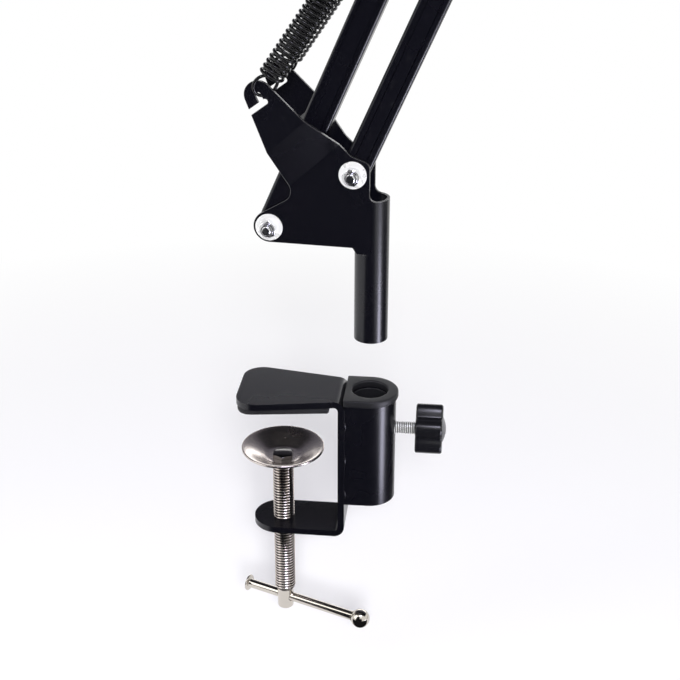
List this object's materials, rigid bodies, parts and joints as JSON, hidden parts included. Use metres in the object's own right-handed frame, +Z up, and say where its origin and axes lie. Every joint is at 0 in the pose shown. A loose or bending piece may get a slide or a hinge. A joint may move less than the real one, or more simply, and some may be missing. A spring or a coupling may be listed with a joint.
{
  "type": "microphone boom arm",
  "caption": "Desk-clamp microphone boom arm: a C-clamp with a post socket, and a two-stage parallelogram arm of square tubes balanced by tension springs.",
  "frame": {"origin": "on the desk face of the jaw pad, on the axis of the clamp screw", "axes": "+Z up, +X from the jaw's tip to the socket; the arm's plane is turned a little clockwise of X seen from above"},
  "size_m": [0.3807, 0.0617, 0.6362],
  "materials": {
    "black_coat": "satin",
    "black_wire": "gloss",
    "black_rubber": "matte",
    "black_plastic": "matte",
    "black_gloss_plastic": "gloss",
    "grey_plastic": "satin",
    "nickel_plate": "polished",
    "bright_zinc": "polished"
  },
  "bodies": {
    "clamp": {"clamp_frame": "black_coat", "jaw_pad": "black_rubber", "socket_body": "black_coat", "socket_cap": "black_plastic"},
    "cup": {"pressure_cup": "nickel_plate"},
    "screw": {"clamp_screw": "nickel_plate"},
    "bar": {"t_bar": "nickel_plate", "t_bar_ball": "nickel_plate"},
    "thumbscrew": {"thumbscrew_stud": "bright_zinc", "thumbscrew_knob": "black_gloss_plastic", "thumbscrew_cap": "grey_plastic"},
    "liner": {"socket_liner": "black_plastic"},
    "base": {"base_bracket": "black_coat", "lower_spring_near": "black_wire", "lower_spring_far": "black_wire", "base_sleeves": "bright_zinc", "base_washers": "bright_zinc", "base_nuts": "bright_zinc", "base_bolts": "bright_zinc"},
    "lower_front": {"lower_tube_front": "black_coat"},
    "lower_rear": {"lower_tube_rear": "black_coat", "lower_spring_pin": "bright_zinc", "lower_spring_spacers": "black_plastic"},
    "elbow": {"elbow_plate_near": "black_coat", "elbow_plate_far": "black_coat", "upper_spring_near": "black_wire", "upper_spring_far": "black_wire", "elbow_sleeves": "bright_zinc", "elbow_washers": "bright_zinc", "elbow_nuts": "bright_zinc", "elbow_bolts": "bright_zinc"},
    "upper_under": {"upper_tube_under": "black_coat"},
    "upper_over": {"upper_tube_over": "black_coat", "upper_spring_pin": "bright_zinc", "upper_spring_spacers": "black_plastic"},
    "head": {"head_plate_near": "black_coat", "head_plate_far": "black_coat", "head_sleeves": "bright_zinc", "head_washers": "bright_zinc", "head_nuts": "bright_zinc", "head_bolts": "bright_zinc"},
    "mic_mount": {"mic_swivel": "black_plastic", "mic_stud": "bright_zinc"}
  },
  "joints": [
    {"name": "clamp_travel", "type": "slide", "parent": "clamp", "child": "cup", "axis": [0, 0, 1], "range_m": [-0.03, 0.0235]},
    {"name": "clamp_screw_turn", "type": "hinge", "parent": "cup", "child": "screw", "pos_m": [0, 0, -0.0311], "axis": [0, 0, 1], "range_deg": [-7201, 5641]},
    {"name": "bar_slide", "type": "slide", "parent": "screw", "child": "bar", "axis": [0.9272, -0.3746, 0], "range_m": [-0.0319, 0.0153]},
    {"name": "thumbscrew_turn", "type": "hinge", "parent": "clamp", "child": "thumbscrew", "pos_m": [0.0619, 0, -0.0115], "axis": [1, 0, 0], "range_deg": [0, 1440]},
    {"name": "arm_swivel", "type": "hinge", "parent": "clamp", "child": "liner", "pos_m": [0.0405, 0, 0.0075], "axis": [0, 0, 1], "continuous": true},
    {"name": "post_seat", "type": "slide", "parent": "liner", "child": "base", "axis": [0, 0, 1], "range_m": [-0.068, 0]},
    {"name": "lower_fold", "type": "hinge", "parent": "base", "child": "lower_front", "pos_m": [0.03333, 0.00065, 0.1116], "axis": [0.0906, 0.9959, 0], "range_deg": [-25, 14]},
    {"name": "lower_fold_rear", "type": "hinge", "parent": "base", "child": "lower_rear", "pos_m": [-0.00302, 0.00396, 0.0858], "axis": [0.0906, 0.9959, 0], "range_deg": [-25, 14], "deforming": ["lower_spring_near", "lower_spring_far"]},
    {"name": "elbow_level", "type": "hinge", "parent": "lower_front", "child": "elbow", "pos_m": [0.1649, -0.01132, 0.414], "axis": [0.0906, 0.9959, 0], "range_deg": [-14, 25]},
    {"name": "upper_fold", "type": "hinge", "parent": "elbow", "child": "upper_under", "pos_m": [0.14797, -0.00978, 0.434], "axis": [0.0906, 0.9959, 0], "range_deg": [-45, 50]},
    {"name": "upper_fold_over", "type": "hinge", "parent": "elbow", "child": "upper_over", "pos_m": [0.15395, -0.01032, 0.462], "axis": [0.0906, 0.9959, 0], "range_deg": [-45, 50], "deforming": ["upper_spring_near", "upper_spring_far"]},
    {"name": "head_level", "type": "hinge", "parent": "upper_under", "child": "head", "pos_m": [-0.14626, 0.017, 0.48609], "axis": [0.0906, 0.9959, 0], "range_deg": [-50, 45]},
    {"name": "mic_tilt", "type": "hinge", "parent": "head", "child": "mic_mount", "pos_m": [-0.17613, 0.01971, 0.48009], "axis": [0.0906, 0.9959, 0], "range_deg": [-100, 45]}
  ],
  "couplings": [
    {"joint": "clamp_screw_turn", "follows": "clamp_travel", "rad_per_m": 4188.8},
    {"joint": "lower_fold_rear", "follows": "lower_fold", "ratio": 1},
    {"joint": "elbow_level", "follows": "lower_fold", "ratio": -1},
    {"joint": "upper_fold_over", "follows": "upper_fold", "ratio": 1},
    {"joint": "head_level", "follows": "upper_fold", "ratio": -1}
  ]
}
